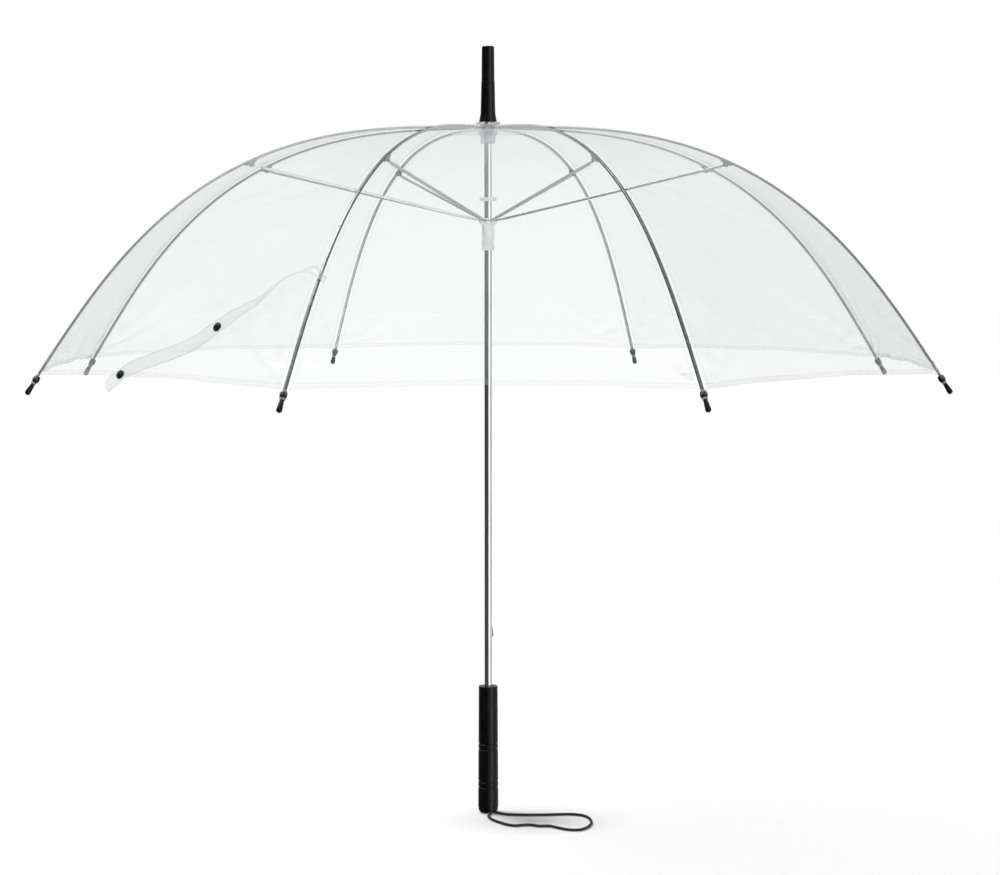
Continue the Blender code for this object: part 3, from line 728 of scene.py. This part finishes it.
def sector_point(i, side, reach, share, lift=0.0):
    """The film point beside rib i: reach is 0 at the rib and 1 in the gore's middle, on side -1 or 1."""
    if reach < ON_RIB:
        a = film_point(i, -1.0, share, lift)
        b = film_point(i - 1, 1.0, share, lift)
        return (a + b) / 2
    gore, u = (i, -1.0 + reach) if side > 0 else (i - 1, 1.0 - reach)
    return film_point(gore, u, share, lift)


def film_rows():
    """Shares of the rib's length for the film's rows, closer together towards the hem, and the rows at
    which its rings begin and end."""
    count, crowding, hem_gap = 84, 0.88, 0.003
    first = (FILM_INNER_RADIUS - HINGE_RADIUS) / RIB_LENGTH
    rows = [first + (1 - first) * (k / (count - 1)) ** crowding for k in range(count)]
    lines = [1 - drop / RIB_LENGTH for drop in HEM_LINES]
    rows = [s for s in rows if s < lines[0] - hem_gap] + lines
    edges = [round(k * (len(rows) - 1) / RINGS) for k in range(RINGS + 1)]
    return rows, edges


ROWS, EDGES = film_rows()


def ring_of(share):
    """The film ring in which a share of the rib's length lies."""
    for ring in range(RINGS):
        if share <= ROWS[EDGES[ring + 1]]:
            return ring
    return RINGS - 1


def fold_beside(obj):
    """Gives the piece a mesh of its own."""
    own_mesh(obj)


def film_kind(column, row_from_hem):
    """A patch's material: lines along the welds and the hem's edges, the doubled hem between them, and
    clear film on the rib."""
    if row_from_hem in (0, 3) or column == WELD_COLUMN:
        return WELD
    if row_from_hem in (1, 2) and column >= COLUMNS_ON_RIB:
        return DOUBLED
    return CLEAR if column < COLUMNS_ON_RIB else 0


def film_ring(i, ring, materials):
    """One band of the film beside rib i, from gore middle to gore middle."""
    first, last = EDGES[ring], EDGES[ring + 1]
    bm = bmesh.new()
    normals = []
    grid = []
    places = [(-1, k) for k in range(FILM_COLUMNS - 1, 0, -1)] + [(1, k) for k in range(FILM_COLUMNS)]
    for share in ROWS[first:last + 1]:
        fractions = film_row_columns(share)
        line = []
        for side, k in places:
            line.append(bm.verts.new(sector_point(i, side, fractions[k], share)))
            normals.append(film_normal(i, side, fractions[k], share))
        grid.append(line)
    for row, k, face in add_grid(bm, grid):
        column = min(places[k][1], places[k + 1][1])
        face.material_index = film_kind(column, len(ROWS) - 2 - (first + row))
        face.smooth = True
    obj = piece_from(bm, f"film_{i + 1}_{ring + 1}", materials)
    obj.data.normals_split_custom_set_from_vertices(normals)
    stands_for(obj, f"rib_{i + 1}", "clear_film", f"canopy_{i + 1}")
    obj.visible_shadow = False
    fold_beside(obj)


def outward(side, down):
    """The normal of two directions along the film, on its upper side."""
    normal = side.cross(down).normalized()
    return normal if normal.z > 0 else -normal


def film_normal(i, side, reach, share):
    """The film's own outward direction, so that neighbouring bands shade as one sheet."""
    step, small, beside = 0.02, 0.004, 1e-6
    if reach < ON_RIB:
        both = film_normal(i, 1, beside, share) + film_normal(i, -1, beside, share)
        return both.normalized()
    up = sector_point(i, side, reach, max(share - small, 0.001))
    down = sector_point(i, side, reach, min(share + small, 1.0))
    gore, u = (i, -1.0 + reach) if side > 0 else (i - 1, 1.0 - reach)
    left = film_point(gore, max(u - step, -1.0), share)
    right = film_point(gore, min(u + step, 1.0), share)
    return outward(right - left, up - down)


def make_canopy(materials):
    for i in range(RIB_COUNT):
        for ring in range(RINGS):
            film_ring(i, ring, materials)


def make_corner_tabs(film):
    """Each corner of the film is drawn down over the cap in pleats and tied round its neck."""
    place = rib_end()
    px, pz = rib_point(1.0, FILM_OFFSET)
    steps, half, tab_half_width = 7, 9, 0.0052
    bm = bmesh.new()
    grid = []
    for k in range(steps + 1):
        t = k / steps
        row = []
        for j in range(-half, half + 1):
            turn = radians(88) * j / half
            radius = 0.0042 - 0.0017 * smooth(t) + 0.00025 * t * cos(pi * j)
            cap = place @ Vector((-radius * cos(turn), radius * sin(turn), 0.0010 + 0.0078 * t))
            reach = abs(j) / half * tab_half_width
            chord = px * sin(HALF_STEP)
            hem = Vector((px - reach / chord * px * sin(HALF_STEP) ** 2, reach * (1 if j > 0 else -1), pz))
            row.append(bm.verts.new(hem.lerp(cap, smooth(min(1.0, t * 2.2)))))
        grid.append(row)
    add_grid(bm, grid)
    around(piece_from(bm, "corner_tab", [film], 80), "rib")


def make_rosette(film, line):
    """The round film patch under the crown, drooping a little, split at the gores' middles."""
    start = (FILM_INNER_RADIUS - HINGE_RADIUS) / RIB_LENGTH
    end = (ROSETTE_RADIUS - HINGE_RADIUS) / RIB_LENGTH
    steps, half, cut_edge = 9, 8, 0.05
    for i in range(RIB_COUNT):
        bm = bmesh.new()
        grid = []
        for k in range(steps + 1):
            t = min(k / (steps - 1), 1.0) + (cut_edge if k == steps else 0.0)
            droop = -0.0030 - 0.0038 * t ** 3
            row = []
            for j in range(-half, half + 1):
                reach = abs(j) / half
                share = (start + (end - start) * t) * (1 + 0.075 * reach ** 2)
                wave = 0.0004 * t * sin(7 * (azimuth(i) + HALF_STEP * j / half))
                row.append(bm.verts.new(sector_point(i, 1 if j > 0 else -1, reach, share, droop + wave)))
            grid.append(row)
        for row, _, face in add_grid(bm, grid):
            face.material_index = 1 if row == steps - 1 else 0
        obj = piece_from(bm, f"rosette_film_{i + 1}", [film, line], 60)
        stands_for(obj, f"rib_{i + 1}", "clear_film", "rosette")
        fold_beside(obj)


# Closure strap

STRAP_RIB = 7
STRAP_HALF_WIDTH = 0.0085
STRAP_LIFT = 0.0016
STRAP_COLUMNS = (-1, -0.88, -0.4, 0, 0.4, 0.88, 1)
# Each point as (share across the gore, share of the rib's length)
STRAP_PATH = ((-0.012, 0.786), (0.034, 0.776), (0.117, 0.795), (0.212, 0.845), (0.333, 0.892),
              (0.428, 0.932), (0.582, 0.977), (0.641, 0.998), (0.676, 1.021))
SNAPS = (("snap_socket", STRAP_PATH[4]), ("snap_stud", STRAP_PATH[7]))


def smooth_route(points, steps):
    """A Catmull-Rom curve through the points."""
    dense = []
    for i in range(len(points) - 1):
        before = points[max(i - 1, 0)]
        a, b = points[i], points[i + 1]
        after = points[min(i + 2, len(points) - 1)]
        for k in range(steps):
            t = k / steps
            dense.append((a * 2 + (b - before) * t + (before * 2 - a * 5 + b * 4 - after) * t ** 2
                          + (a * 3 - before - b * 3 + after) * t ** 3) / 2)
    dense.append(points[-1])
    return dense


def strap_point(across, share, lift):
    """A point over the strap's gore, for across from 0 at rib STRAP_RIB to 1 at the one before it."""
    gore = STRAP_RIB - 1
    if share <= 1.0:
        return film_point(gore, 1.0 - 2.0 * across, share, lift)
    edge = film_point(gore, 1.0 - 2.0 * across, 1.0, lift)
    above = film_point(gore, 1.0 - 2.0 * across, 0.99, lift)
    return edge + (edge - above).normalized() * (share - 1.0) * RIB_LENGTH


def make_strap(film, seam, black):
    """The closure strap, twisted near its narrow end, cut where it passes to the next film piece."""
    path = smooth_route([Vector((a, s, 0)) for a, s in STRAP_PATH], 14)
    grid = []
    for k, p in enumerate(path):
        before, after = path[max(k - 1, 0)], path[min(k + 1, len(path) - 1)]
        centre, ahead, behind = (strap_point(q.x, q.y, STRAP_LIFT) for q in (p, after, before))
        along = (ahead - behind).normalized()
        out = gore_normal(p.x, min(p.y, 0.995))
        across = out.cross(along).normalized()
        twist = radians(34) * exp(-((k / len(path) - 0.24) / 0.14) ** 2)
        half_width = STRAP_HALF_WIDTH * (0.5 + 0.5 * smooth(k / len(path) / 0.45))
        wide = (across * cos(twist) + out * sin(twist)) * half_width
        centre += out * abs(sin(twist)) * half_width
        curl = 0.0012 * sin(k * 0.16)
        grid.append([centre + wide * t + out * curl * t * t for t in STRAP_COLUMNS])
    groups = {}
    for k in range(len(grid) - 1):
        p = (path[k] + path[k + 1]) / 2
        rib = STRAP_RIB if p.x < 0.5 else STRAP_RIB - 1
        groups.setdefault((rib, ring_of(p.y)), []).append(k)
    for (rib, ring), steps in groups.items():
        bm = bmesh.new()
        lines = [[bm.verts.new(p) for p in grid[k]] for k in (*steps, steps[-1] + 1)]
        for _, column, face in add_grid(bm, lines):
            face.material_index = 1 if column in (0, len(STRAP_COLUMNS) - 2) else 0
        obj = piece_from(bm, f"strap_{rib + 1}_{ring + 1}", [film, seam], 60)
        stands_for(obj, f"rib_{rib + 1}", "clear_film", "strap")
        fold_beside(obj)
    for name, (across, share) in SNAPS:
        make_snap(name, across, min(share, 0.998), black)


def gore_normal(across, share):
    """The outward direction of the film under the strap."""
    step, small = 0.01, 0.004
    side = strap_point(across + step, share, 0) - strap_point(across - step, share, 0)
    down = strap_point(across, share + small, 0) - strap_point(across, share - small, 0)
    return outward(side, down)


def make_snap(name, across, share, black):
    """A snap's cap, ring and rivet."""
    foot = strap_point(across, share, STRAP_LIFT + 0.0004)
    out = gore_normal(across, share)
    turn = out.to_track_quat("Z", "Y").to_matrix().to_4x4()
    outline = [(0, -0.0008), (0.0044, -0.0008), (0.0046, 0.0004), (0.0044, 0.0010), (0.0036, 0.0015),
               (0.0034, 0.0013), (0.0020, 0.0013), (0.0017, 0.0019), (0, 0.0021)]
    obj = turned(f"{name}_cap", rounded(outline, 0.0003, 2), 36, black, Matrix.Translation(foot) @ turn)
    rib = STRAP_RIB if across < 0.5 else STRAP_RIB - 1
    stands_for(obj, f"rib_{rib + 1}", "black_plastic", name)
    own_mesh(obj)


# Shaft and what is on it

def heights(node):
    """The lowest and highest z of a CAD node."""
    return [corner.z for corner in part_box(node)]


def make_shaft(chrome):
    """The tube, with a window for each catch."""
    low, high = heights("shaft_tube")
    inner = SHAFT_RADIUS - SHAFT_WALL
    window_half_width, tail = 0.0013, 0.0057
    outline = [(inner, low), (SHAFT_RADIUS, low), (SHAFT_RADIUS, high), (inner, high)]
    shaft = turned("tube", outline, 96, chrome)
    cutters = []
    for node in ("catch_lower", "catch_upper"):
        bottom, top = heights(node)
        cutters.append(box_cutter((0.001, -window_half_width, bottom + tail),
                                  (0.006, window_half_width, top - tail)))
    cut_away(shaft, cutters)
    stands_for(shaft, "shaft", "chrome", "shaft_tube")


def make_ferrule(black):
    """The cap over the tube's end, flared at its foot, with a small step to its narrower upper part."""
    low, high = heights("ferrule")
    low += COLLAR_ROOM
    bore_top, step_low, step_high = 0.7803, 0.7868, 0.7880
    outline = [(0, bore_top), (BORE_RADIUS, bore_top), (BORE_RADIUS, low), (0.0096, low),
               (0.0091, low + 0.0024), (0.0080, low + 0.0085), (0.0077, low + 0.0150),
               (0.0072, step_low), (0.0069, step_high), (0.0066, high - 0.0012),
               (0.0060, high - 0.0003), (0.0054, high), (0, high)]
    ferrule = turned("ferrule_cap", rounded(outline, 0.0004, 3), 64, black)
    stands_for(ferrule, "shaft", "black_plastic", "ferrule")


def make_collar(film):
    """Clear washer under the ferrule, ruffled and frayed where the film is gathered."""
    bm = bmesh.new()
    top = heights("top_washer")[1]
    sides, steps, inner_radius, lift = 144, 8, 0.0072, 0.0008
    rings = []
    for k in range(steps):
        t = k / (steps - 1)
        ring = []
        for j in range(sides):
            a = 2 * pi * j / sides
            ruffle = 0.0013 * t * t * (sin(9 * a) + 0.6 * sin(17 * a + 1) + 0.4 * sin(29 * a))
            radius = inner_radius + (0.0056 + 0.0008 * sin(11 * a + 2) * sin(4 * a)) * t
            ring.append(bm.verts.new((radius * cos(a), radius * sin(a), top + lift + ruffle)))
        rings.append(ring)
    for a, b in zip(rings, rings[1:]):
        for j in range(sides):
            n = (j + 1) % sides
            bm.faces.new((a[j], b[j], b[n], a[n]))
    stands_for(piece_from(bm, "collar_film", [film], 60), "shaft", "clear_film", "top_washer")


SLOT_HALF_WIDTH, SLOT_REACH, GROOVE_REACH = 0.0011, 0.013, 0.012


def rib_slots(inner, low, high):
    """A cutter for each rib's slot."""
    return [box_cutter((inner, -SLOT_HALF_WIDTH, low), (SLOT_REACH, SLOT_HALF_WIDTH, high), azimuth(i))
            for i in range(RIB_COUNT)]


def wire_groove(inner, height, mat):
    """A cutter for the groove that holds a hinge wire."""
    low, high = height - WIRE_GROOVE_HALF, height + WIRE_GROOVE_HALF
    outline = [(inner, low), (GROOVE_REACH, low), (GROOVE_REACH, high), (inner, high)]
    return turned("cutter", outline, 64, mat)


def make_crown(plastic):
    """The rib holder: a slotted flange, grooved for the wire, on a narrower neck."""
    low, high = heights("crown")
    neck_top, flange_low, flange_radius = 0.7300, 0.7320, 0.01025
    outline = [(BORE_RADIUS, low), (0.0076, low), (0.0080, neck_top), (flange_radius, flange_low),
               (flange_radius, high - 0.0006), (0.00965, high), (BORE_RADIUS, high)]
    crown = turned("crown_body", rounded(outline, 0.0003, 2), 64, plastic)
    cutters = rib_slots(0.0069, low - 0.001, CROWN_HINGE_Z + 0.0021)
    cutters.append(wire_groove(0.0082, CROWN_HINGE_Z, plastic))
    cut_away(crown, cutters, 35)
    stands_for(crown, "shaft", "clear_plastic", "crown")


def make_runner(plastic):
    """The slider: a slotted flange on a sleeve, slit down one side for the catches."""
    low, high = heights("runner")
    flange, flange_radius, sleeve_radius, lip_radius, bore = 0.6375, 0.0095, 0.0065, 0.0070, 0.0044
    slit_half_width, past = 0.0015, 0.001
    outline = [(bore, low), (lip_radius, low), (lip_radius, low + 0.0020), (sleeve_radius, low + 0.0040),
               (sleeve_radius, flange - 0.0020), (flange_radius, flange), (flange_radius, high - 0.0005),
               (0.0090, high), (bore, high)]
    runner = turned("runner_body", rounded(outline, 0.0003, 2), 64, plastic)
    cutters = rib_slots(0.0072, flange - 0.003, high + past)
    cutters.append(wire_groove(0.0059, RUNNER_HINGE_Z, plastic))
    cutters.append(box_cutter((0.002, -slit_half_width, low - past), (0.012, slit_half_width, high + past)))
    cut_away(runner, cutters, 35)
    stands_for(runner, "runner", "clear_plastic", "runner")


def make_stop_ring(plastic):
    low, high = heights("stop_ring")
    radius = 0.0090
    outline = [(BORE_RADIUS, low), (radius, low), (radius, high), (BORE_RADIUS, high)]
    ring = turned("stop_collar", rounded(outline, 0.0007, 4), 64, plastic)
    stands_for(ring, "shaft", "clear_plastic", "stop_ring")


def make_wires(steel):
    """The wire rings on which the ribs and the stretchers hinge."""
    for name, node, body, radius, height in (
        ("crown_hoop", "crown_wire", "shaft", HINGE_RADIUS, CROWN_HINGE_Z),
        ("runner_hoop", "runner_wire", "runner", 0.00675, RUNNER_HINGE_Z),
    ):
        bm = bmesh.new()
        add_ring(bm, radius, WIRE_RADIUS, 72, Matrix.Translation((0, 0, height)), 12)
        stands_for(solid_from(bm, name, [steel], 60), body, "steel_wire", node)


GRIP_GROOVES = (0.0284, 0.0349, 0.0702, 0.0760)
GATE_TURN = radians(-62)


def make_handle(black):
    """The grip, with four grooves, a bore for the tube, and room for the cord and its plug."""
    high = heights("handle")[1]
    top_radius, end_radius = 0.01025, 0.0110
    groove_half, groove_floor_half, groove_depth, bore_floor = 0.0010, 0.0006, 0.0006, 0.0327
    outline = [(0, 0), (0.0074, 0), (0.0092, 0.0008), (0.0104, 0.0030), (end_radius, 0.0077)]
    for z in GRIP_GROOVES:
        r = end_radius + (top_radius - end_radius) * z / high
        outline += [(r, z - groove_half), (r - groove_depth, z - groove_floor_half),
                    (r - groove_depth, z + groove_floor_half), (r, z + groove_half)]
    outline += [(top_radius, high), (BORE_RADIUS, high), (BORE_RADIUS, bore_floor), (0, bore_floor)]
    handle = turned("grip", rounded(outline, 0.0004, 3), 80, black)
    cord_gate = box_cutter((-0.0040, -0.0050, -0.001), (0.015, 0.0050, 0.0036), GATE_TURN)
    plug_room = box_cutter((-0.0041, -0.0041, 0.0030), (0.0037, 0.0041, 0.0110), GATE_TURN)
    cut_away(handle, [cord_gate, plug_room], 35)
    stands_for(handle, "shaft", "black_plastic", "handle")


# Wrist cord

CORD_RADIUS = 0.00145
CORD_ROUTE = (
    (-0.0002, -0.0042), (0.0022, -0.0107), (0.0010, -0.0190), (0.0000, -0.0275), (0.0035, -0.0405),
    (0.0100, -0.0520), (0.0190, -0.0640), (0.0277, -0.0694), (0.0360, -0.0668), (0.0440, -0.0664),
    (0.0540, -0.0716), (0.0640, -0.0716), (0.0740, -0.0810), (0.0840, -0.0886), (0.0950, -0.0890),
    (0.1040, -0.0775), (0.1090, -0.0590), (0.1085, -0.0410), (0.1040, -0.0270), (0.0960, -0.0200),
    (0.0850, -0.0178), (0.0700, -0.0192), (0.0540, -0.0203), (0.0390, -0.0201), (0.0260, -0.0188),
    (0.0165, -0.0158), (0.0077, -0.0078), (0.0035, -0.0022),
)


def make_cord(mat):
    """The wrist loop: both ends go back into the handle, and all of it lies on the ground."""
    height = CORD_RADIUS + 0.0001
    route = smooth_route([Vector((x, y, height)) for x, y in CORD_ROUTE], 8)
    curve = bpy.data.curves.new("wrist_loop", "CURVE")
    curve.dimensions = "3D"
    curve.bevel_depth = CORD_RADIUS
    curve.bevel_resolution = 5
    curve.use_fill_caps = True
    curve.materials.append(mat)
    spline = curve.splines.new("POLY")
    spline.points.add(len(route) - 1)
    for point, place in zip(spline.points, route):
        point.co = (*place, 1.0)
    cord = new_object("wrist_loop", curve)
    stands_for(cord, "shaft", "black_cord", "wrist_cord")


def finish_cad_nodes(materials):
    """CAD nodes that are shown as they are get the finished materials."""
    for node, mat in materials.items():
        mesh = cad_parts[node].data
        mesh.materials.clear()
        mesh.materials.append(mat)


make_camera()
cord_black = cord_material()
make_cord(cord_black)
make_world()
make_lights()
make_floor()
film = film_material("canopy_film", 0.09, 0.58, 1.03)
clear = film_material("film_on_rib", 0.02, 0.14)
weld = film_material("film_weld", 0.22, 0.80, 0.80)
strap_film = film_material("strap_film", 0.36, 0.90, 0.97)
doubled = film_material("film_doubled", 0.16, 0.84, 0.95)
edge = film_material("film_cut_edge", 0.50, 0.95, 0.66)
gathered = film_material("film_gathered", 0.62, 0.95, 0.84)
milky = clear_plastic_material("milky_moulding", 0.86, (0.58, 0.64, 0.64), (0.76, 0.80, 0.80))
clear_plastic = clear_plastic_material("clear_moulding", 0.55, (0.30, 0.36, 0.36), (0.46, 0.52, 0.52))
chrome = chrome_material()
rib_steel = steel_material("rib_steel_plated", (0.08, 0.09, 0.095), (0.16, 0.18, 0.185), 0.30)
arm_steel = steel_material("arm_steel_plated", (0.40, 0.43, 0.435), (0.58, 0.61, 0.62), 0.34)
inner_steel = steel_material("bare_steel_inside", (0.66, 0.68, 0.68), (0.82, 0.84, 0.84), 0.50)
wire_steel = steel_material("bright_wire", (0.50, 0.51, 0.52), (0.68, 0.69, 0.70), 0.24)
black = black_plastic_material("black_moulding", 0.28)
grip_black = black_plastic_material("grip_moulding", 0.32)
make_canopy([film, clear, weld, doubled])
make_rosette(film, edge)
make_corner_tabs(film)
make_strap(strap_film, edge, black)
make_ribs(rib_steel, inner_steel)
make_brackets(rib_steel)
make_stretchers(arm_steel, inner_steel)
make_tips(black, weld)
make_shaft(chrome)
make_ferrule(black)
make_collar(gathered)
make_crown(clear_plastic)
make_runner(milky)
make_stop_ring(milky)
make_wires(wire_steel)
make_handle(grip_black)
finish_cad_nodes({"catch_lower": wire_steel, "catch_upper": wire_steel, "crown_pin": wire_steel,
                  "cord_plug": black})
